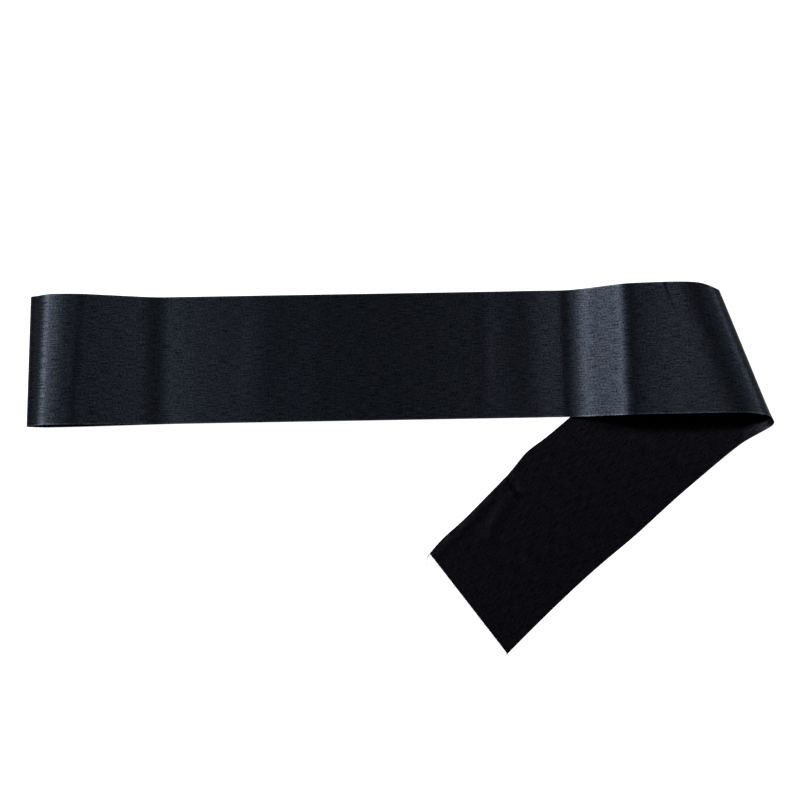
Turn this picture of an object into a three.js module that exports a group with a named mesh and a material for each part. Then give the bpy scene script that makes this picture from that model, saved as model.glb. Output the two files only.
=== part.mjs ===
/**
 * A satin sash: one woven strip, 100 mm wide, folded and laid on a flat surface. Its lower run lies
 * flat, turns over in a low roll at the left and comes back on top of itself. At the right the strip
 * climbs into an open loop, folds down on a slant, and ends in a tail with a raw cut end.
 *
 * A place on the strip is (along, across). "along" is the distance on the cloth from a mark on the
 * centre line, to the right, or to the left where it is negative. "across" is 0 on the centre line,
 * negative towards the front edge and positive towards the back edge. Millimetres, +Z up.
 */
import * as THREE from 'three';

// The strip and its wall
const WIDTH = 100;
const HALF_WIDTH = WIDTH / 2;
const WALL = 1.2;
const GAP = 0.3;
const FLOOR_LEVEL = WALL / 2;
const UPPER_LEVEL = FLOOR_LEVEL + WALL + GAP;

// Where the mark lies, and how far the run is turned from +X, in degrees
const MARK = { x: 1.8, y: 85.7, slant: 1.0 };

// The left roll: distances from the mark, slopes in degrees, heights at the back and front edges
const LEFT_CLIMB = { at: 193, span: 26, slope: 19, levelSpan: 18 };
const LEFT_HEIGHT = { back: 20.5, front: 22.5 };
const LEFT_TURN_FROM = { back: 270, front: 271 };

// The right loop: its climb, its top, and the slanted fold that brings it down again
const RIGHT_CLIMB = { at: 127, span: 18, slope: 27, levelSpan: 28 };
const RIGHT_HEIGHT = 30;
const FOLD = { from: 213, skew: 19.5, shoulderAt: 28.5, shoulderSpan: 38, shoulderTurn: 50, span: 17 };

// The tail: each thread is drawn round towards the front, between these distances past the fold
const DRAWN = { turn: -5.2, back: { at: 232, span: 54 }, front: { at: 290, span: 200 } };
// Its front edge comes off the fold raised, and sinks to the surface by and by
const LIFT = { height: 14, span: 172, power: 1.5 };
// Its creases: soft ridges from one place on the strip to another
const RIDGES = [
  { from: { along: 456, across: 54 }, to: { along: 534, across: 19 }, halfWidth: 10, height: 1.6 },
];

// The stretches of the strip, from the hidden end to the cut tail. "lean" is how far the line across
// the strip moves along for each millimetre across.
const FOLD_LEAN = -Math.tan(THREE.MathUtils.degToRad(FOLD.skew));
const ROOT_LEAN = -0.28;
const MIDDLE_LEAN = -0.14;
const CUT_LEAN = -0.03;
const STRETCHES = [
  { name: 'under_run', from: -696, to: -320, steps: 8, columns: 2, finish: 'face' },
  { name: 'left_roll', from: -320, to: -178, steps: 46, columns: 8, finish: 'face' },
  { name: 'top_run', from: -178, to: 116, steps: 8, columns: 2, finish: 'face' },
  { name: 'right_climb', from: 116, to: 212, leanTo: FOLD_LEAN, steps: 28, columns: 10, finish: 'face' },
  {
    name: 'right_fold', from: 212, leanFrom: FOLD_LEAN, to: 293, leanTo: FOLD_LEAN,
    steps: 40, columns: 10, finish: 'face',
  },
  {
    name: 'tail_root', from: 293, leanFrom: FOLD_LEAN, to: 345, leanTo: ROOT_LEAN,
    steps: 10, columns: 12, finish: 'reverse',
  },
  {
    name: 'tail_middle', from: 345, leanFrom: ROOT_LEAN, to: 430, leanTo: MIDDLE_LEAN,
    steps: 15, columns: 12, finish: 'reverse',
  },
  {
    name: 'tail_end', from: 430, leanFrom: MIDDLE_LEAN, to: 567, leanTo: CUT_LEAN,
    steps: 24, columns: 14, finish: 'reverse',
  },
];

const FINISHES = {
  face: { color: 0x15191d, roughness: 0.42, metalness: 0 },
  reverse: { color: 0x101014, roughness: 0.7, metalness: 0 },
};

// Length of the small steps that a bent path is added up from, and the reach of a slope's two samples
const STEP = 0.1;
const SAMPLE = 0.5;

const { degToRad, clamp, lerp } = THREE.MathUtils;

/** 0 before the start, 1 past the end, and a soft S between. */
function smooth(u) {
  const v = clamp(u, 0, 1);
  return v * v * (3 - 2 * v);
}

/** A value of a { back, front } pair at a place across the strip. */
function between(pair, across) {
  return lerp(pair.back, pair.front, 0.5 - across / WIDTH);
}

/** The path of a thread through its bends, as a function of distance that gives its run and rise. */
function bentPath(bends, length) {
  const run = [0];
  const rise = [0];
  for (let i = 0; i * STEP < length; i += 1) {
    let slope = 0;
    for (const bend of bends) {
      slope += degToRad(bend.turn) * smooth(((i + 0.5) * STEP - bend.at) / bend.span + 0.5);
    }
    run.push(run[i] + STEP * Math.cos(slope));
    rise.push(rise[i] + STEP * Math.sin(slope));
  }
  return (distance) => {
    const place = clamp(distance / STEP, 0, run.length - 2);
    const i = Math.floor(place);
    return { run: lerp(run[i], run[i + 1], place - i), rise: lerp(rise[i], rise[i + 1], place - i) };
  };
}

/** How far one bend rises for each millimetre of its span, from a slope to that slope plus a turn. */
function meanRise(slope, turn) {
  const count = 400;
  let sum = 0;
  for (let i = 0; i < count; i += 1) {
    sum += Math.sin(degToRad(slope + turn * smooth((i + 0.5) / count)));
  }
  return sum / count;
}

/** The two bends of a climb to a height above the run that it leaves, and where the second ends. */
function climbTo(height, { at, span, slope, levelSpan }) {
  const straight = (height - meanRise(0, slope) * (span + levelSpan)) / Math.sin(degToRad(slope));
  const levelAt = at + span / 2 + straight + levelSpan / 2;
  const bends = [{ at, span, turn: slope }, { at: levelAt, span: levelSpan, turn: -slope }];
  return { bends, end: levelAt + levelSpan / 2 };
}

/** One thread of the left side: up the climb, round the roll and back along the surface. */
function leftThread(across) {
  const height = between(LEFT_HEIGHT, across);
  const climb = climbTo(height - UPPER_LEVEL, LEFT_CLIMB);
  const levelRun = bentPath(climb.bends, climb.end)(climb.end).run;
  const rollSpan = (height - FLOOR_LEVEL) / meanRise(0, 180);
  const rollStart = climb.end + between(LEFT_TURN_FROM, across) - levelRun;
  const rollEnd = rollStart + rollSpan;
  const roll = { at: rollStart + rollSpan / 2, span: rollSpan, turn: -180 };
  const path = bentPath([...climb.bends, roll], rollEnd);
  const endRun = path(rollEnd).run;
  return (distance) => {
    if (distance > rollEnd) return [distance - rollEnd - endRun, across, FLOOR_LEVEL];
    const { run, rise } = path(distance);
    return [-run, across, UPPER_LEVEL + rise];
  };
}

/** The right climb and the profile over the fold, square to the fold's slanted axis. */
function rightPaths() {
  const climb = climbTo(RIGHT_HEIGHT - UPPER_LEVEL, RIGHT_CLIMB);
  const climbPath = bentPath(climb.bends, climb.end);
  const lost = climb.end - climbPath(climb.end).run;
  const { shoulderAt, shoulderSpan, shoulderTurn, span } = FOLD;
  const drop = RIGHT_HEIGHT - FLOOR_LEVEL;
  const shoulderDrop = -meanRise(0, -shoulderTurn) * shoulderSpan;
  const foldDrop = -meanRise(-shoulderTurn, shoulderTurn - 180) * span;
  const bent = shoulderDrop + foldDrop;
  const straight = (drop - bent) / Math.sin(degToRad(shoulderTurn));
  const foldStart = shoulderAt + shoulderSpan / 2 + straight;
  const foldEnd = foldStart + span;
  const foldPath = bentPath([
    { at: shoulderAt, span: shoulderSpan, turn: -shoulderTurn },
    { at: foldStart + span / 2, span, turn: shoulderTurn - 180 },
  ], foldEnd);
  return { climb, climbPath, lost, foldStart, foldEnd, foldPath };
}

const RIGHT = rightPaths();

/** One thread of the strip drawn round in the cloth's own plane, from its distance to x and y. */
function drawnThread(across) {
  const past = FOLD.from + RIGHT.lost;
  const bend = {
    at: past + between({ back: DRAWN.back.at, front: DRAWN.front.at }, across),
    span: between({ back: DRAWN.back.span, front: DRAWN.front.span }, across),
    turn: DRAWN.turn,
  };
  const path = bentPath([bend], STRETCHES.at(-1).to + WIDTH);
  return (distance) => {
    const { run, rise } = path(distance);
    return [run, across + rise];
  };
}

/** Height that the creases add at a place on the strip. */
function ridgeHeight(along, across) {
  let height = 0;
  for (const { from, to, halfWidth, height: top } of RIDGES) {
    const line = new THREE.Vector2(to.along - from.along, to.across - from.across);
    const offset = new THREE.Vector2(along - from.along, across - from.across);
    const share = offset.dot(line) / line.lengthSq();
    const aside = Math.abs(offset.cross(line)) / line.length();
    const lengthwise = share > 0 && share < 1 ? Math.sin(Math.PI * share) : 0;
    height += top * lengthwise * (1 - smooth(aside / halfWidth));
  }
  return height;
}

/** One thread of the right side: along the run, up the climb, over the fold and out to the tail. */
function rightThread(across) {
  const drawn = drawnThread(across);
  const skew = degToRad(FOLD.skew);
  return (distance) => {
    const [flatX, y] = drawn(distance);
    const climbed = flatX < RIGHT.climb.end ? RIGHT.climbPath(flatX) : null;
    const x = (climbed ? climbed.run : flatX - RIGHT.lost) - FOLD.from;
    const reach = x * Math.cos(skew) + y * Math.sin(skew);
    const aside = y * Math.cos(skew) - x * Math.sin(skew);
    let out = reach;
    let z = climbed ? UPPER_LEVEL + climbed.rise : RIGHT_HEIGHT;
    if (reach > RIGHT.foldEnd) {
      out = RIGHT.foldPath(RIGHT.foldEnd).run - (reach - RIGHT.foldEnd);
      z = FLOOR_LEVEL + ridgeHeight(distance, across);
    } else if (reach > 0) {
      const { run, rise } = RIGHT.foldPath(reach);
      out = run;
      z = RIGHT_HEIGHT + rise;
    }
    const raised = smooth((reach - RIGHT.foldStart) / FOLD.span);
    const sunk = smooth((reach - RIGHT.foldStart - FOLD.span / 2) / LIFT.span);
    const frontness = clamp(0.5 - across / WIDTH, 0, 1) ** LIFT.power;
    z += LIFT.height * raised * (1 - sunk) * frontness;
    const outX = out * Math.cos(skew) - aside * Math.sin(skew);
    const outY = out * Math.sin(skew) + aside * Math.cos(skew);
    return [FOLD.from + outX, outY, z];
  };
}

const threads = new Map();

/** The middle of the wall at a place on the strip, before the whole strip is turned and set down. */
function middle(along, across) {
  const side = along < 0 ? 'left' : 'right';
  const key = `${side} ${across}`;
  if (!threads.has(key)) threads.set(key, side === 'left' ? leftThread(across) : rightThread(across));
  return new THREE.Vector3(...threads.get(key)(Math.abs(along)));
}

/** The direction square to the cloth, up where the face is up. */
function square(along, across) {
  const lengthwise = middle(along + SAMPLE, across).sub(middle(along - SAMPLE, across));
  const crosswise = middle(along, across + SAMPLE).sub(middle(along, across - SAMPLE));
  return lengthwise.cross(crosswise).normalize();
}

/** A closed wall along one stretch of the strip, with a small gap left at each end for its seam. */
function wallOf({ from, to, leanFrom = 0, leanTo = 0, steps, columns }) {
  const points = [];
  for (let i = 0; i <= steps; i += 1) {
    const at = lerp(from + GAP / 2, to - GAP / 2, i / steps);
    const lean = lerp(leanFrom, leanTo, i / steps);
    for (let j = 0; j <= columns; j += 1) {
      const across = lerp(-HALF_WIDTH, HALF_WIDTH, j / columns);
      const along = at + lean * across;
      const centre = middle(along, across);
      const offset = square(along, across).multiplyScalar(WALL / 2);
      points.push(...centre.clone().add(offset), ...centre.clone().sub(offset));
    }
  }
  const upper = (i, j) => 2 * (i * (columns + 1) + j);
  const lower = (i, j) => upper(i, j) + 1;
  const faces = [];
  const quad = (a, b, c, d) => faces.push(a, b, c, a, c, d);
  for (let i = 0; i < steps; i += 1) {
    for (let j = 0; j < columns; j += 1) {
      quad(upper(i, j), upper(i + 1, j), upper(i + 1, j + 1), upper(i, j + 1));
      quad(lower(i, j), lower(i, j + 1), lower(i + 1, j + 1), lower(i + 1, j));
    }
    quad(upper(i, 0), lower(i, 0), lower(i + 1, 0), upper(i + 1, 0));
    quad(upper(i, columns), upper(i + 1, columns), lower(i + 1, columns), lower(i, columns));
  }
  for (let j = 0; j < columns; j += 1) {
    quad(upper(0, j), upper(0, j + 1), lower(0, j + 1), lower(0, j));
    quad(upper(steps, j), lower(steps, j), lower(steps, j + 1), upper(steps, j + 1));
  }
  const geometry = new THREE.BufferGeometry();
  geometry.setAttribute('position', new THREE.Float32BufferAttribute(points, 3));
  geometry.setIndex(faces);
  geometry.computeVertexNormals();
  return geometry;
}

const sash = new THREE.Group();
for (const stretch of STRETCHES) {
  const mesh = new THREE.Mesh(wallOf(stretch), new THREE.MeshStandardMaterial(FINISHES[stretch.finish]));
  mesh.name = stretch.name;
  sash.add(mesh);
}
sash.position.set(MARK.x, MARK.y, 0);
sash.rotation.z = degToRad(MARK.slant);

export default sash;
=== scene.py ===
"""A black satin sash, folded and laid on a pale surface.

The sash is one woven strip. Its lower run lies flat, turns over in a low roll at the left, comes back
on top of itself, climbs into an open loop at the right, folds down on a slant and ends in a tail with
a raw cut end. The strip starts as a flat grid of its cut size and is bent thread by thread through the
bends of the frame's solids, which it replaces. Lengths in the bend tables are in millimetres.
"""

from __future__ import annotations

import logging
import math
from collections.abc import Iterable
from dataclasses import dataclass
from enum import Enum

import bpy
import numpy as np
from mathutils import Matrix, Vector


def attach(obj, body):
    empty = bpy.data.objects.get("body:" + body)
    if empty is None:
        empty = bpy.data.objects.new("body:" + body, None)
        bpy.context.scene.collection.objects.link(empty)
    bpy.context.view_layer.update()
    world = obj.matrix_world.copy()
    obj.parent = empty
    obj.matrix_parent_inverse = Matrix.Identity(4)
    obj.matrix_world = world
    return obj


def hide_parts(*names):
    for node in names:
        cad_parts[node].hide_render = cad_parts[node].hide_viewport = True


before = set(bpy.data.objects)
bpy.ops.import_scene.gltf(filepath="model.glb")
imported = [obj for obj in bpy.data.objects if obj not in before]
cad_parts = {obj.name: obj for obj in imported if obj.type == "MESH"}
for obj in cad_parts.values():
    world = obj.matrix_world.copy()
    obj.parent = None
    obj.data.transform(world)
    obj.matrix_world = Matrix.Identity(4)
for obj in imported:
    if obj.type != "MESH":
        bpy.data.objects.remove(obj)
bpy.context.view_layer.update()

log = logging.getLogger("sash")

MM = 0.001
BODY = "root"
NODES = ("under_run", "left_roll", "top_run", "right_climb", "right_fold",
         "tail_root", "tail_middle", "tail_end")


class Slot(Enum):
    """The record's material slots."""

    FACE = "satin_face"
    REVERSE = "satin_reverse"


def smooth(u: np.ndarray) -> np.ndarray:
    """Go from 0 to 1 in a soft S.

    Args:
        u: places, where 0 is the start and 1 the end.

    Returns:
        The S at each place, held at 0 and 1 outside.
    """
    v = np.clip(u, 0.0, 1.0)
    return v * v * (3.0 - 2.0 * v)


def mean_rise(slope: float, turn: float, count: int = 400) -> float:
    """How far a bend rises for each millimetre of its span.

    Args:
        slope: slope where the bend starts, in degrees.
        turn: how much the slope changes over the bend, in degrees.
        count: samples that the mean is taken over.

    Returns:
        The mean of the slope's sine.
    """
    places = (np.arange(count) + 0.5) / count
    return float(np.sin(np.radians(slope + turn * smooth(places))).mean())


@dataclass(frozen=True)
class Bend:
    """One bend along a thread: its middle, its span and its turn in degrees."""

    at: float
    span: float
    turn: float


@dataclass(frozen=True)
class Edges:
    """A size that differs between the back edge and the front edge of the strip."""

    back: float
    front: float

    def at(self, frontness: float) -> float:
        """The size at a share of the way from the back edge to the front edge."""
        return self.back + (self.front - self.back) * frontness


class BentPath:
    """The path of a thread through its bends, added up from small steps."""

    STEP = 0.1

    def __init__(self, bends: Iterable[Bend], length: float, slope: float = 0.0) -> None:
        """Add up the path.

        Args:
            bends: the bends, with their middles measured along the thread.
            length: how much of the thread is needed.
            slope: slope that the thread starts with, in degrees.
        """
        self.distance = np.arange(0.0, length + self.STEP, self.STEP)
        middle = self.distance[:-1] + self.STEP / 2
        angle = np.full_like(middle, math.radians(slope))
        for bend in bends:
            angle += math.radians(bend.turn) * smooth((middle - bend.at) / bend.span + 0.5)
        self._run = np.concatenate([[0.0], np.cumsum(np.cos(angle))]) * self.STEP
        self._rise = np.concatenate([[0.0], np.cumsum(np.sin(angle))]) * self.STEP

    def run(self, distance: np.ndarray | float) -> np.ndarray:
        """How far the thread has gone level at a distance along it."""
        return np.interp(distance, self.distance, self._run)

    def rise(self, distance: np.ndarray | float) -> np.ndarray:
        """How far the thread has gone up at a distance along it."""
        return np.interp(distance, self.distance, self._rise)


@dataclass(frozen=True)
class Climb:
    """A climb off the surface: bends up, a straight slope and bends back to level.

    The rising bends have their places along the thread, the settling ones from the slope's upper end.
    """

    rising: tuple[Bend, ...]
    settling: tuple[Bend, ...]

    def bends_to(self, height: float) -> tuple[list[Bend], float]:
        """The bends that reach a height.

        Args:
            height: height above the run that the climb leaves.

        Returns:
            The bends, and the distance at which the last one ends.
        """
        slope = sum(bend.turn for bend in self.rising)
        risen, settled = (max(bend.at + bend.span / 2 for bend in part)
                          for part in (self.rising, self.settling))
        gained = (BentPath(self.rising, risen).rise(risen)
                  + BentPath(self.settling, settled, slope).rise(settled))
        upper_end = risen + (height - float(gained)) / math.sin(math.radians(slope))
        settling = [Bend(bend.at + upper_end, bend.span, bend.turn) for bend in self.settling]
        return [*self.rising, *settling], upper_end + settled


@dataclass(frozen=True)
class Ridge:
    """A soft crease from one place on the strip to another. A negative height is a trough."""

    start: tuple[float, float]
    end: tuple[float, float]
    half_width: float
    height: float

    def lift(self, along: np.ndarray, across: np.ndarray) -> np.ndarray:
        """How far the crease moves the cloth out of its plane at places on the strip."""
        line = np.array(self.end) - np.array(self.start)
        length = float(np.hypot(*line))
        offset_along, offset_across = along - self.start[0], across - self.start[1]
        share = (offset_along * line[0] + offset_across * line[1]) / length**2
        aside = np.abs(offset_along * line[1] - offset_across * line[0]) / length
        lengthwise = np.where((share > 0) & (share < 1), np.sin(np.pi * np.clip(share, 0, 1)), 0.0)
        return self.height * lengthwise * (1.0 - smooth(aside / self.half_width))


class Edge(Enum):
    """The strip's two long edges."""

    BACK = 0.0
    FRONT = 1.0


@dataclass(frozen=True)
class Bow:
    """A place where one long edge stands out sideways: its place, its span and how far it stands out."""

    edge: Edge
    at: float
    span: float
    out: float

    def push(self, along: np.ndarray, frontness: float) -> np.ndarray:
        """How far the bow moves places of one thread towards the back."""
        near = 1.0 - abs(self.edge.value - frontness)
        sideways = self.out * near**3 * np.exp(-(((along - self.at) / self.span) ** 2))
        return sideways if self.edge is Edge.BACK else -sideways


@dataclass(frozen=True)
class Lift:
    """How the front edge stands up past the fold: its height there, its span and how it fades inwards."""

    height: float
    span: float
    power: float

    def rise(self, past: np.ndarray, frontness: float) -> np.ndarray:
        """How far it lifts places of one thread at a distance past the fold."""
        return self.height * (1.0 - smooth(past / self.span)) * min(max(frontness, 0.0), 1.0) ** self.power


@dataclass
class StripForm:
    """The form of the whole strip as it lies, from places on the flat cloth to places in space.

    A place on the cloth is (along, across): along from the mark to the right, across from the centre
    line to the back. Sizes are in millimetres and turns in degrees. Those of the mark, the left climb,
    the fold's skew and the drawn tail are the rounded results of a fit to the photograph's outline.
    """

    width: float = 100.0
    hidden_end: float = -696.0
    cut_end: float = 571.5
    cut_lean: float = -0.03
    floor_level: float = 0.25
    upper_level: float = 1.2
    mark: tuple[float, float] = (1.8, 85.7)
    slant: float = 1.0
    left_climb: Climb = Climb((Bend(193.0, 26.0, 19.0),), (Bend(4.5, 9.0, -12.5), Bend(19.0, 20.0, -6.5)))
    left_height: Edges = Edges(20.5, 22.5)
    left_turn_from: Edges = Edges(265.0, 267.2)
    left_turn: tuple[Bend, ...] = (Bend(6.2, 10.4, -16.0), Bend(0.0, 13.0, -84.0))
    left_flat: Edges = Edges(21.0, 18.8)
    peek: float = 1.1
    peek_span: float = 110.0
    right_climb: Climb = Climb((Bend(127.5, 12.0, 15.0), Bend(140.0, 26.0, 16.0)),
                               (Bend(7.0, 20.0, -25.5), Bend(35.0, 46.0, -5.5)))
    right_height: float = 25.9
    fold_from: float = 216.0
    fold_skew: float = 19.5
    shoulder: tuple[Bend, ...] = (Bend(18.0, 34.0, -18.0), Bend(42.0, 24.0, -50.0))
    fold_span: float = 13.0
    drawn_turn: float = -5.2
    drawn_at: Edges = Edges(232.0, 290.0)
    drawn_span: Edges = Edges(54.0, 200.0)
    lifts: tuple[Lift, ...] = (Lift(3.0, 90.0, 2.0), Lift(11.0, 30.0, 4.0))
    bows: tuple[Bow, ...] = (
        Bow(Edge.FRONT, 300.0, 24.0, 3.0),
        Bow(Edge.FRONT, 440.0, 30.0, 1.2),
        Bow(Edge.BACK, 462.0, 14.0, 2.0),
        Bow(Edge.BACK, 556.0, 16.0, 1.5),
        Bow(Edge.BACK, 250.0, 12.0, -3.5),
    )
    ridges: tuple[Ridge, ...] = (
        Ridge((-118.0, -70.0), (-104.0, 70.0), 22.0, 0.4),
        Ridge((-62.0, 66.0), (-70.0, -66.0), 12.0, 0.18),
        Ridge((64.0, -66.0), (67.0, 66.0), 9.0, 0.3),
        Ridge((104.0, 95.0), (104.0, -95.0), 24.0, 0.9),
        Ridge((484.5, 54.0), (489.0, 30.0), 4.2, 3.4),
        Ridge((480.0, 40.0), (540.0, 24.0), 9.0, 0.9),
        Ridge((476.0, 46.5), (592.0, 43.5), 4.0, 0.9),
    )

    def __post_init__(self) -> None:
        """Work out the climb and the fold on the right, which all threads share."""
        bends, self.climb_end = self.right_climb.bends_to(self.right_height - self.upper_level)
        self.climb_path = BentPath(bends, self.climb_end)
        self.lost = self.climb_end - float(self.climb_path.run(self.climb_end))
        down = sum(bend.turn for bend in self.shoulder)
        shoulder_end = self.shoulder[-1].at + self.shoulder[-1].span / 2
        drop = self.right_height - self.floor_level
        drop += float(BentPath(self.shoulder, shoulder_end).rise(shoulder_end))
        drop += mean_rise(down, -180.0 - down) * self.fold_span
        self.fold_start = shoulder_end + drop / math.sin(math.radians(-down))
        self.fold_end = self.fold_start + self.fold_span
        fold = Bend(self.fold_start + self.fold_span / 2, self.fold_span, -180.0 - down)
        self.fold_path = BentPath([*self.shoulder, fold], self.fold_end)

    def frontness(self, across: np.ndarray | float) -> np.ndarray | float:
        """0 at the back edge, 1 at the front edge."""
        return 0.5 - across / self.width

    def _left_thread(self, along: np.ndarray, across: float) -> np.ndarray:
        """Places of one thread left of the mark: up the climb, round the roll and back."""
        distance = -along
        front = float(self.frontness(across))
        height = self.left_height.at(front)
        bends, climb_end = self.left_climb.bends_to(height - self.upper_level)
        level_run = float(BentPath(bends, climb_end).run(climb_end))
        start = climb_end + self.left_turn_from.at(front) - level_run
        first, second = self.left_turn
        bends += [Bend(start + first.at, first.span, first.turn),
                  Bend(start + self.left_flat.at(front), second.span, second.turn)]
        lower = bends[-1].at + bends[-1].span / 2
        turned = sum(bend.turn for bend in self.left_turn)
        drop = self.floor_level - self.upper_level - float(BentPath(bends, lower).rise(lower))
        span = drop / mean_rise(turned, -180.0 - turned)
        end = lower + span
        path = BentPath([*bends, Bend(lower + span / 2, span, -180.0 - turned)], end)
        past = distance > end
        x = np.where(past, distance - end - float(path.run(end)), -path.run(distance))
        creased = self._creases(along, np.full_like(along, across))
        z = np.where(past, self.floor_level, self.upper_level + path.rise(distance) + creased)
        peeking = smooth((distance - start) / span) * (1.0 - smooth((distance - end) / self.peek_span))
        return np.stack([x, across - self.peek * peeking, z], axis=1)

    def _right_thread(self, along: np.ndarray, across: float) -> np.ndarray:
        """Places of one thread right of the mark: up the climb, over the fold and out to the tail."""
        front = float(self.frontness(across))
        drawn_from = self.fold_from + self.lost + self.drawn_at.at(front)
        drawing = Bend(drawn_from, self.drawn_span.at(front), self.drawn_turn)
        drawn = BentPath([drawing], self.cut_end + self.width)
        flat_x = drawn.run(along)
        y = across + drawn.rise(along) + sum(bow.push(along, front) for bow in self.bows)
        climbing = flat_x < self.climb_end
        x = np.where(climbing, self.climb_path.run(flat_x), flat_x - self.lost) - self.fold_from
        creased = self._creases(along, np.full_like(along, across))
        z = np.where(climbing, self.upper_level + self.climb_path.rise(flat_x), self.right_height) + creased
        skew = math.radians(self.fold_skew)
        reach = x * math.cos(skew) + y * math.sin(skew)
        aside = y * math.cos(skew) - x * math.sin(skew)
        bent, past = reach > 0, reach > self.fold_end
        out = np.where(bent, self.fold_path.run(np.maximum(reach, 0.0)), reach)
        out = np.where(past, float(self.fold_path.run(self.fold_end)) - (reach - self.fold_end), out)
        z = np.where(bent, self.right_height + self.fold_path.rise(np.maximum(reach, 0.0)), z)
        z = np.where(past, self.floor_level + creased, z)
        raised = smooth((reach - self.fold_start) / self.fold_span)
        past_fold = reach - self.fold_start - self.fold_span / 2
        z = z + raised * sum(lift.rise(past_fold, front) for lift in self.lifts)
        return np.stack([self.fold_from + out * math.cos(skew) - aside * math.sin(skew),
                         out * math.sin(skew) + aside * math.cos(skew), z], axis=1)

    def _creases(self, along: np.ndarray, across: np.ndarray) -> np.ndarray:
        """Height that all the creases add."""
        return sum((ridge.lift(along, across) for ridge in self.ridges), np.zeros_like(along))

    def place(self, along: np.ndarray, across: np.ndarray) -> np.ndarray:
        """Set places on the flat strip down where they lie.

        Args:
            along: distances from the mark, in millimetres.
            across: distances from the centre line, in millimetres.

        Returns:
            One row of x, y and z for each place, in metres.
        """
        points = np.empty((along.size, 3))
        threads, which = np.unique(np.round(across, 4), return_inverse=True)
        for index, thread in enumerate(threads):
            for left in (True, False):
                chosen = (which == index) & ((along < 0) == left)
                if chosen.any():
                    make = self._left_thread if left else self._right_thread
                    points[chosen] = make(along[chosen], float(thread))
        angle = math.radians(self.slant)
        x = points[:, 0] * math.cos(angle) - points[:, 1] * math.sin(angle) + self.mark[0]
        y = points[:, 0] * math.sin(angle) + points[:, 1] * math.cos(angle) + self.mark[1]
        return np.stack([x, y, points[:, 2]], axis=1) * MM


def smooth_line(share: np.ndarray, steps: np.ndarray, at: np.ndarray) -> np.ndarray:
    """Round off a line of a few steps.

    Args:
        share: where each step is along the line, from 0 to 1.
        steps: the steps, one row each.
        at: the shares at which places are wanted.

    Returns:
        One row for each place, on a cubic through the steps or a parabola through three.
    """
    degree = min(3, len(share) - 1)
    return np.stack([np.polyval(np.polyfit(share, steps[:, axis], degree), at) for axis in (0, 1)], axis=1)


def select_only(obj: bpy.types.Object) -> None:
    """Deselect everything, then select one object and make it the active one."""
    bpy.ops.object.select_all(action="DESELECT")
    obj.select_set(True)
    bpy.context.view_layer.objects.active = obj


class Shader:
    """A small helper that adds linked nodes to a material."""

    def __init__(self, name: str) -> None:
        """Start a material with its Principled shader."""
        self.material = bpy.data.materials.new(name)
        self.material.use_nodes = True
        self.nodes = self.material.node_tree.nodes
        self.links = self.material.node_tree.links
        self.surface = self.nodes["Principled BSDF"]

    def node(self, kind: str, settings: dict | None = None, **inputs: object) -> bpy.types.Node:
        """Add a node.

        Args:
            kind: the node's type name without its ShaderNode prefix.
            settings: the node's own properties.
            **inputs: socket values or sockets to link, with _ for a space in a socket's name.

        Returns:
            The new node.
        """
        node = self.nodes.new(f"ShaderNode{kind}")
        for name, value in (settings or {}).items():
            setattr(node, name, value)
        for name, value in inputs.items():
            key = int(name[1:]) if name[0] == "i" and name[1:].isdigit() else name.replace("_", " ")
            self.plug(node.inputs[key], value)
        return node

    def plug(self, socket: bpy.types.NodeSocket, value: object) -> None:
        """Link a socket to another, or set its value."""
        if isinstance(value, bpy.types.NodeSocket):
            self.links.new(value, socket)
        else:
            socket.default_value = value

    def dress(self, **inputs: object) -> None:
        """Set or link sockets of the Principled shader."""
        for name, value in inputs.items():
            self.plug(self.surface.inputs[name.replace("_", " ")], value)


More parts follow.
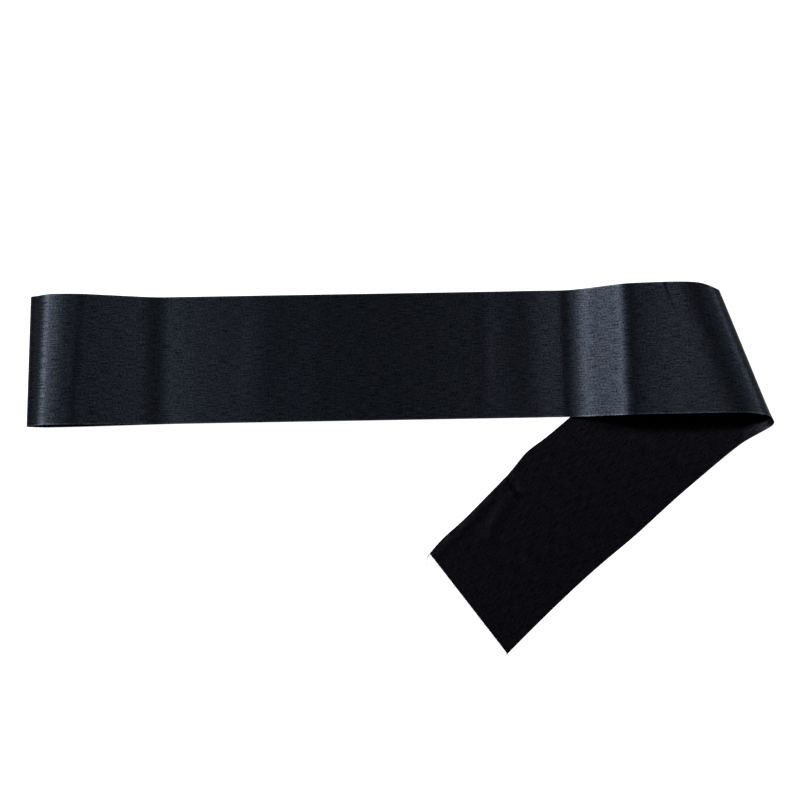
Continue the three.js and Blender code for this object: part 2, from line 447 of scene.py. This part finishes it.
@dataclass(frozen=True)
class SatinFinish:
    """One side of the satin: its colour, its yarns and how it shines.

    The UV map has the distance across the strip as U and along it as V, both in metres. The yarns that
    float along the strip spread the light across it, so the gloss is stretched across. A share of the
    cloth shines without scattering, which keeps its rims dark.
    """

    name: str
    dark: tuple[float, float, float]
    light: tuple[float, float, float]
    shine: float
    rim: float
    roughness: float
    anisotropy: float
    streak_bump: float
    grain_bump: float
    yarn: float = 0.0006
    streak_length: float = 0.009
    grain: float = 0.0012
    selvedge: float = 0.0009
    selvedge_tone: float = 2.0
    half_width: float = 0.05
    selvedge_from: float = 1.5
    selvedge_to: float = 0.7
    tone_from: float = 0.72
    tone_to: float = 1.28

    def _noise(self, shader: Shader, uv: bpy.types.NodeSocket, across: float, along: float,
               detail: float) -> bpy.types.NodeSocket:
        """Noise in cells of a given size.

        Args:
            shader: the shader that it is added to.
            uv: the place on the strip.
            across: size of a cell across the strip, in metres.
            along: size of a cell along the strip, in metres.
            detail: how much finer noise it holds.

        Returns:
            The noise's value.
        """
        scale = shader.node("Mapping", i0=uv)
        scale.inputs["Scale"].default_value = (1 / across, 1 / along, 1)
        return shader.node("TexNoise", Vector=scale.outputs[0], Scale=1.0, Detail=detail).outputs[0]

    def _tone(self, shader: Shader, uv: bpy.types.NodeSocket, streaks: bpy.types.NodeSocket,
              grain: bpy.types.NodeSocket) -> bpy.types.NodeSocket:
        """The colour of the yarns, lighter in the selvedges.

        Args:
            shader: the shader that it is added to.
            uv: the place on the strip.
            streaks: noise of the long floats.
            grain: noise of the weave's grain.

        Returns:
            The colour.
        """
        both = shader.node("Math", {"operation": "ADD"}, i0=streaks, i1=grain)
        ramp = shader.node("MapRange", Value=both.outputs[0])
        ramp.inputs["From Min"].default_value = self.tone_from
        ramp.inputs["From Max"].default_value = self.tone_to
        colour = shader.node("Mix", {"data_type": "RGBA"}, i0=ramp.outputs[0])
        colour.inputs[6].default_value = (*self.dark, 1)
        colour.inputs[7].default_value = (*self.light, 1)
        across = shader.node("SeparateXYZ", i0=uv).outputs[0]
        distance = shader.node("Math", {"operation": "ABSOLUTE"}, i0=across).outputs[0]
        edge = shader.node("MapRange", Value=distance)
        edge.inputs["From Min"].default_value = self.half_width - self.selvedge_from * self.selvedge
        edge.inputs["From Max"].default_value = self.half_width - self.selvedge_to * self.selvedge
        edge.inputs["To Min"].default_value = 1.0
        edge.inputs["To Max"].default_value = self.selvedge_tone
        return shader.node("VectorMath", {"operation": "SCALE"}, i0=colour.outputs[2],
                           Scale=edge.outputs[0]).outputs[0]

    def material(self) -> bpy.types.Material:
        """Build the finish as a material.

        Returns:
            The material.
        """
        shader = Shader(self.name)
        uv = shader.node("UVMap", {"uv_map": "cloth"}).outputs["UV"]
        streaks = self._noise(shader, uv, self.yarn, self.streak_length, 1.0)
        grain = self._noise(shader, uv, self.grain, self.grain * 1.2, 1.0)
        tone = self._tone(shader, uv, streaks, grain)
        first = shader.node("Bump", Strength=1.0, Distance=self.grain_bump, Height=grain)
        second = shader.node("Bump", Strength=1.0, Distance=self.streak_bump, Height=streaks,
                             Normal=first.outputs[0])
        tangent = shader.node("Tangent", {"direction_type": "UV_MAP", "uv_map": "cloth"})
        shader.dress(Base_Color=tone, Metallic=self.shine, Roughness=self.roughness,
                     Specular_IOR_Level=0.0, Specular_Tint=(self.rim, self.rim, self.rim, 1),
                     Anisotropic=self.anisotropy, Tangent=tangent.outputs[0], Normal=second.outputs[0])
        return shader.material


FACE_FINISH = SatinFinish(
    name="satin_face", dark=(0.0038, 0.0047, 0.0062), light=(0.0228, 0.0272, 0.0365),
    shine=0.88, rim=0.5, roughness=0.50, anisotropy=0.88, streak_bump=0.000006, grain_bump=0.00006,
)
REVERSE_FINISH = SatinFinish(
    name="satin_reverse", dark=(0.0008, 0.0008, 0.0012), light=(0.0072, 0.0070, 0.0096),
    shine=0.75, rim=0.3, roughness=0.48, anisotropy=0.3, streak_bump=0.00001,
    grain_bump=0.00006, selvedge_tone=1.3,
)


@dataclass
class WovenStrip:
    """The cloth itself: a flat grid of the cut size, bent into its form and given its thickness."""

    form: StripForm
    thickness: float = 0.35
    columns: int = 40
    stretches: tuple[tuple[float, float], ...] = (
        (-330.0, 6.0), (-176.0, 1.6), (112.0, 3.0), (300.0, 1.3),
    )
    tail_step: float = 2.0
    lean_from: float = 116.0
    fold_lean: Edges = Edges(205.0, 293.0)
    smooth_angle: float = 40.0

    def along_stations(self) -> np.ndarray:
        """Places of the grid's lines across the strip, closer where it bends."""
        rows, start = [], self.form.hidden_end
        for end, step in (*self.stretches, (self.form.cut_end, self.tail_step)):
            rows.append(np.arange(start, end, step))
            start = end
        return np.concatenate([*rows, [self.form.cut_end]])

    def lean(self, along: np.ndarray) -> np.ndarray:
        """How far the lines across lean along for each millimetre across."""
        fold = -math.tan(math.radians(self.form.fold_skew))
        places = [self.lean_from, self.fold_lean.back, self.fold_lean.front, self.form.cut_end]
        return np.interp(along, places, [0.0, fold, fold, self.form.cut_lean])

    def build(self) -> bpy.types.Object:
        """Make the cloth.

        Returns:
            The finished piece.
        """
        at = self.along_stations()
        length, width = self.form.cut_end - self.form.hidden_end, self.form.width
        bpy.ops.object.select_all(action="DESELECT")
        bpy.ops.mesh.primitive_grid_add(x_subdivisions=at.size - 1, y_subdivisions=self.columns, size=1)
        piece = bpy.context.active_object
        piece.name = piece.data.name = "satin_strip"
        bpy.ops.transform.resize(value=(length * MM, width * MM, 1))
        bpy.ops.object.transform_apply(location=False, rotation=False, scale=True)
        mesh = piece.data
        flat = np.empty(len(mesh.vertices) * 3)
        mesh.vertices.foreach_get("co", flat)
        flat = flat.reshape(-1, 3) / MM
        station = np.rint((flat[:, 0] / length + 0.5) * (at.size - 1)).astype(int)
        across = np.round(flat[:, 1], 4)
        along = at[station] + self.lean(at[station]) * across
        points = self.form.place(along, across)
        mesh.vertices.foreach_set("co", points.ravel())
        uv = mesh.uv_layers.active
        uv.name = "cloth"
        corners = np.empty(len(mesh.loops), dtype=int)
        mesh.loops.foreach_get("vertex_index", corners)
        uv.data.foreach_set("uv", (np.stack([across, along], axis=1) * MM)[corners].ravel())
        mesh.update()
        mesh.materials.append(FACE_FINISH.material())
        mesh.materials.append(REVERSE_FINISH.material())
        select_only(piece)
        bpy.ops.object.shade_smooth()
        bpy.ops.object.modifier_add(type="SOLIDIFY")
        wall = piece.modifiers[-1]
        wall.thickness = self.thickness * MM
        wall.offset = 0.0
        wall.material_offset = 1
        bpy.ops.object.modifier_apply(modifier=wall.name)
        bpy.ops.object.shade_smooth_by_angle(angle=math.radians(self.smooth_angle))
        return piece


@dataclass(frozen=True)
class YarnFinish:
    """The loose black yarns: uneven dye and a soft gloss."""

    name: str = "loose_yarn"
    dark: tuple[float, float, float] = (0.004, 0.004, 0.005)
    light: tuple[float, float, float] = (0.028, 0.028, 0.034)
    mottle: float = 0.0012
    roughness: float = 0.6
    twist_bump: float = 0.00002

    def material(self) -> bpy.types.Material:
        """Build the finish as a material.

        Returns:
            The material.
        """
        shader = Shader(self.name)
        place = shader.node("TexCoord").outputs["Object"]
        mottle = shader.node("TexNoise", Vector=place, Scale=1 / self.mottle, Detail=2.0)
        tone = shader.node("ValToRGB", Fac=mottle.outputs[0])
        tone.color_ramp.elements[0].color = (*self.dark, 1)
        tone.color_ramp.elements[1].color = (*self.light, 1)
        twist = shader.node("TexNoise", Vector=place, Scale=4 / self.mottle, Detail=0.0)
        bump = shader.node("Bump", Strength=1.0, Distance=self.twist_bump, Height=twist.outputs[0])
        shader.dress(Base_Color=tone.outputs[0], Roughness=self.roughness, Specular_IOR_Level=0.3,
                     Normal=bump.outputs[0])
        return shader.material


@dataclass(frozen=True)
class LooseThread:
    """A thread that has come out of the weave.

    Its places are steps along and across the strip from where it leaves the cut end, in millimetres.
    """

    across: float
    steps: tuple[tuple[float, float], ...]


@dataclass
class FrayedEnd:
    """The raw cut end: short yarn ends along the cut and a few threads that have come loose."""

    form: StripForm
    reach: float = 49.4
    spacing: float = 0.62
    shortest: float = 0.25
    longer: float = 0.5
    pulled_share: float = 0.06
    pulled: float = 0.7
    aside: float = 0.16
    uneven: float = 0.08
    root: float = 0.5
    yarn: float = 0.2
    loose: float = 0.42
    thinning: float = 0.8
    stations: int = 6
    sides: int = 5
    seed: int = 11
    threads: tuple[LooseThread, ...] = (
        LooseThread(49.6, ((0.0, 0.0), (1.6, 0.4), (3.4, -0.4), (5.4, -2.1), (7.9, -4.4))),
        LooseThread(48.4, ((0.0, 0.0), (0.9, 0.5), (2.0, 0.7), (2.8, 0.3))),
        LooseThread(-49.5, ((0.0, 0.0), (0.4, -1.0), (-0.6, -2.2), (-2.0, -3.2))),
        LooseThread(-48.8, ((0.0, 0.0), (1.1, -0.6), (1.6, -1.6))),
        LooseThread(-21.0, ((0.0, 0.0), (1.2, 0.6), (1.9, 1.6))),
        LooseThread(17.5, ((0.0, 0.0), (1.0, -0.2), (1.7, -1.0))),
    )

    def yarn_ends(self) -> list[LooseThread]:
        """The short ends of the cut yarns, each of its own length.

        Returns:
            One short thread for each yarn along the cut.
        """
        random = np.random.default_rng(self.seed)
        ends = []
        for across in np.arange(-self.reach, self.reach, self.spacing):
            length = self.shortest + self.longer * random.random() ** 2
            length += self.pulled if random.random() > 1.0 - self.pulled_share else 0.0
            aside = random.normal(0.0, self.aside)
            start = across + random.normal(0.0, self.uneven)
            steps = ((-self.root, 0.0), (length * 0.5, aside * 0.4), (length, aside))
            ends.append(LooseThread(float(start), steps))
        return ends

    def tube(self, thread: LooseThread, thickness: float) -> tuple[np.ndarray, list[tuple[int, ...]]]:
        """The wall of one thread.

        Args:
            thread: the thread.
            thickness: its diameter in millimetres.

        Returns:
            Its vertices in metres, and its faces.
        """
        steps = np.array(thread.steps)
        share = np.linspace(0.0, 1.0, len(steps))
        where = smooth_line(share, steps, np.linspace(0.0, 1.0, self.stations))
        along = self.form.cut_end + self.form.cut_lean * thread.across + where[:, 0]
        centre = self.form.place(along, thread.across + where[:, 1]) / MM
        forward = np.gradient(centre, axis=0)
        forward /= np.linalg.norm(forward, axis=1, keepdims=True)
        side = np.cross(forward, (0.0, 0.0, 1.0))
        side /= np.linalg.norm(side, axis=1, keepdims=True)
        above = np.cross(side, forward)
        radius = thickness / 2 * np.linspace(1.0, self.thinning, self.stations)[:, None, None]
        turn = np.arange(self.sides) * 2 * math.pi / self.sides
        ring = (np.cos(turn)[None, :, None] * side[:, None]
                + np.sin(turn)[None, :, None] * above[:, None])
        corners = (centre[:, None] + radius * ring).reshape(-1, 3)
        faces = []
        for row in range(self.stations - 1):
            for step in range(self.sides):
                low = row * self.sides + step
                high = row * self.sides + (step + 1) % self.sides
                faces.append((low, high, high + self.sides, low + self.sides))
        last = (self.stations - 1) * self.sides
        faces += [tuple(reversed(range(self.sides))), tuple(range(last, last + self.sides))]
        return corners * MM, faces

    def build(self) -> bpy.types.Object:
        """Make all the yarn ends and loose threads as one piece.

        Returns:
            The finished piece.
        """
        corners, faces, start = [], [], 0
        sized = [(end, self.yarn) for end in self.yarn_ends()]
        sized += [(thread, self.loose) for thread in self.threads]
        for thread, thickness in sized:
            wall, loops = self.tube(thread, thickness)
            corners.append(wall)
            faces += [tuple(start + corner for corner in loop) for loop in loops]
            start += len(wall)
        mesh = bpy.data.meshes.new("frayed_end")
        mesh.from_pydata(np.concatenate(corners).tolist(), [], faces)
        piece = bpy.data.objects.new("frayed_end", mesh)
        bpy.context.scene.collection.objects.link(piece)
        mesh.materials.append(YarnFinish().material())
        select_only(piece)
        bpy.ops.object.mode_set(mode="EDIT")
        bpy.ops.mesh.select_all(action="SELECT")
        bpy.ops.mesh.normals_make_consistent(inside=False)
        bpy.ops.object.mode_set(mode="OBJECT")
        bpy.ops.object.shade_smooth()
        return piece


@dataclass(frozen=True)
class SoftLight:
    """A rectangular light over the sash.

    It is tilted from straight overhead to the right and leaned to the back, in degrees, and its size is
    its width along the tilt and its depth along the lean.
    """

    name: str
    tilt: float
    lean: float
    size: tuple[float, float]
    watts: float
    distance: float = 3.5
    colour: tuple[float, float, float] = (1.0, 1.0, 1.0)


@dataclass
class Studio:
    """The plain floor, the soft lights and the camera."""

    target: tuple[float, float, float] = (0.00033, 0.05132, 0.0)
    distance: float = 0.6
    elevation: float = 85.6
    lens: float = 34.56
    floor_size: float = 6.0
    lights: tuple[SoftLight, ...] = (
        SoftLight("left_light", -39.0, 27.0, (0.24, 0.75), 210.0),
        SoftLight("top_light", 23.0, 27.0, (1.0, 0.75), 42.0, colour=(1.0, 0.93, 0.95)),
        SoftLight("right_light", 70.0, 27.0, (0.14, 0.75), 42.0),
    )

    def floor(self) -> None:
        """Lay the plain floor: its grey glows white, so thin threads still show against it."""
        bpy.ops.object.select_all(action="DESELECT")
        bpy.ops.mesh.primitive_plane_add(size=self.floor_size, location=(0, 0, 0))
        floor = bpy.context.active_object
        floor.name = "floor"
        shader = Shader("pale_floor")
        mottle = shader.node("TexNoise", Scale=3.0, Detail=2.0)
        ramp = shader.node("ValToRGB", Fac=mottle.outputs[0])
        ramp.color_ramp.elements[0].color = (0.24, 0.24, 0.245, 1)
        ramp.color_ramp.elements[1].color = (0.27, 0.27, 0.27, 1)
        shader.dress(Base_Color=ramp.outputs[0], Roughness=0.9, Specular_IOR_Level=0.1,
                     Emission_Color=(1, 1, 1, 1), Emission_Strength=1.0)
        floor.data.materials.append(shader.material)

    def light(self, lamp: SoftLight) -> None:
        """Hang one soft light over the sash."""
        data = bpy.data.lights.new(lamp.name, "AREA")
        data.shape = "RECTANGLE"
        data.size, data.size_y = lamp.size
        data.energy = lamp.watts
        data.color = lamp.colour
        made = bpy.data.objects.new(lamp.name, data)
        bpy.context.scene.collection.objects.link(made)
        tilt, lean = (math.tan(math.radians(angle)) for angle in (lamp.tilt, lamp.lean))
        away = Vector((tilt, lean, 1.0)).normalized()
        made.location = Vector(self.target) + away * lamp.distance
        made.rotation_euler = away.to_track_quat("Z", "Y").to_euler()

    def camera(self) -> None:
        """Set the camera almost straight above the sash."""
        data = bpy.data.cameras.new("camera")
        data.lens = self.lens
        data.sensor_width = 36.0
        data.clip_start = 0.01
        camera = bpy.data.objects.new("camera", data)
        bpy.context.scene.collection.objects.link(camera)
        angle = math.radians(self.elevation)
        x, y, z = self.target
        camera.location = (x, y - self.distance * math.cos(angle), z + self.distance * math.sin(angle))
        camera.rotation_euler = (math.pi / 2 - angle, 0.0, 0.0)
        bpy.context.scene.camera = camera

    def world(self) -> None:
        """Fill the shadows with a dim pale sky."""
        world = bpy.data.worlds.new("studio")
        world.use_nodes = True
        background = world.node_tree.nodes["Background"]
        background.inputs["Color"].default_value = (0.95, 0.97, 1.0, 1)
        background.inputs["Strength"].default_value = 0.1
        bpy.context.scene.world = world

    def build(self) -> None:
        """Set up everything that isn't the sash."""
        self.floor()
        for lamp in self.lights:
            self.light(lamp)
        self.camera()
        self.world()
        bpy.context.scene.view_settings.view_transform = "Standard"


def main() -> None:
    """Build the sash and its studio, and report each piece."""
    logging.basicConfig(level=logging.INFO, format="%(name)s: %(message)s")
    Studio().build()
    form = StripForm()
    strip = WovenStrip(form)
    piece = strip.build()
    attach(piece, BODY)
    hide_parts(*NODES)
    frayed = FrayedEnd(form).build()
    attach(frayed, BODY)
    for made in (piece, frayed):
        log.info("%s: %d faces", made.name, len(made.data.polygons))


if __name__ == "__main__":
    main()
